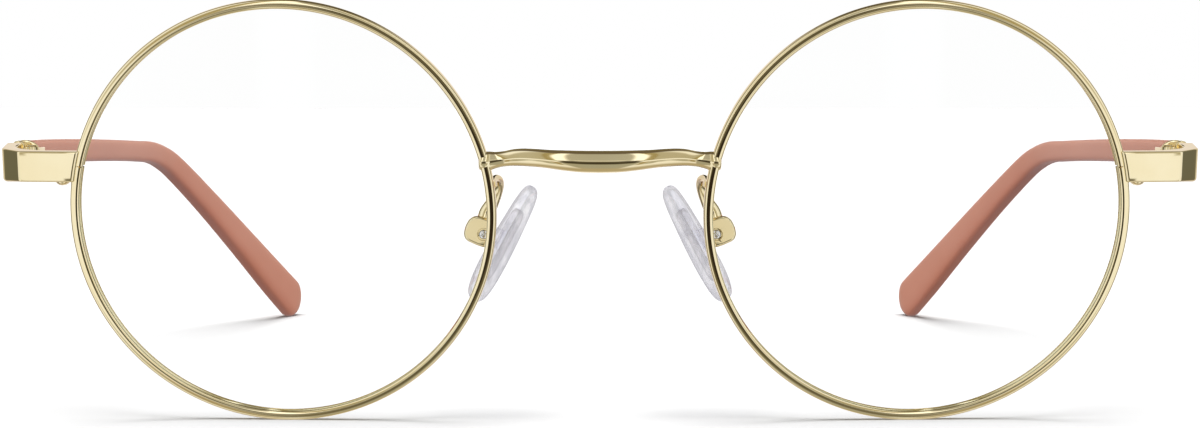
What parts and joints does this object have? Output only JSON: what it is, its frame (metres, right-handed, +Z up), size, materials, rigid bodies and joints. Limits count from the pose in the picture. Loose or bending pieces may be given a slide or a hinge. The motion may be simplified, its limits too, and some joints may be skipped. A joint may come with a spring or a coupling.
{
  "type": "eyeglasses",
  "caption": "Round metal-rimmed eyeglasses with clear lenses, folding temples with bent-down sleeved tips, and soft rocking nose pads on wire arms.",
  "frame": {"origin": "middle of the bottom of the bounding box, on the floor the open glasses stand on, temples open", "axes": "+X towards the wearer's left, +Y from the front back to the temple tips, +Z up"},
  "size_m": [0.1358, 0.141, 0.0478],
  "materials": {
    "gold_metal": "polished pale gold-coloured plating",
    "lens": "clear, polished",
    "temple_sleeve": "satin salmon pink",
    "screw_steel": "polished",
    "pad_silicone": "clear soft silicone",
    "pad_insert": "clear hard plastic"
  },
  "bodies": {
    "front": {"bridge": "gold_metal", "eyewire_right": "gold_metal", "eyewire_left": "gold_metal", "lens_right": "lens", "lens_left": "lens", "endpiece_right": "gold_metal", "endpiece_left": "gold_metal", "block_upper_right": "gold_metal", "block_upper_left": "gold_metal", "block_lower_right": "gold_metal", "block_lower_left": "gold_metal", "closing_screw_right": "gold_metal", "closing_screw_left": "gold_metal", "hinge_front_right": "gold_metal", "hinge_front_left": "gold_metal", "hinge_screw_right": "gold_metal", "hinge_screw_left": "gold_metal", "pad_arm_right": "gold_metal", "pad_arm_left": "gold_metal", "pad_box_right": "gold_metal", "pad_box_left": "gold_metal", "pad_screw_right": "screw_steel", "pad_screw_left": "screw_steel"},
    "arm_right": {"temple_right": "temple_sleeve", "temple_core_right": "gold_metal", "hinge_temple_right": "gold_metal"},
    "arm_left": {"temple_left": "temple_sleeve", "temple_core_left": "gold_metal", "hinge_temple_left": "gold_metal"},
    "pad_right": {"nose_pad_right": "pad_silicone", "pad_core_right": "pad_insert"},
    "pad_left": {"nose_pad_left": "pad_silicone", "pad_core_left": "pad_insert"}
  },
  "joints": [
    {"name": "temple_right_fold", "type": "hinge", "parent": "front", "child": "arm_right", "pos_m": [-0.06545, -0.05974, 0.02997], "axis": [0, 0, -1], "range_deg": [0, 84]},
    {"name": "temple_left_fold", "type": "hinge", "parent": "front", "child": "arm_left", "pos_m": [0.06545, -0.05974, 0.02997], "axis": [0, 0, 1], "range_deg": [0, 78]},
    {"name": "pad_right_rock", "type": "hinge", "parent": "front", "child": "pad_right", "pos_m": [-0.0133, -0.06154, 0.02122], "axis": [0, 1, 0], "range_deg": [-8, 8]},
    {"name": "pad_left_rock", "type": "hinge", "parent": "front", "child": "pad_left", "pos_m": [0.0133, -0.06154, 0.02122], "axis": [0, 1, 0], "range_deg": [-8, 8]}
  ]
}
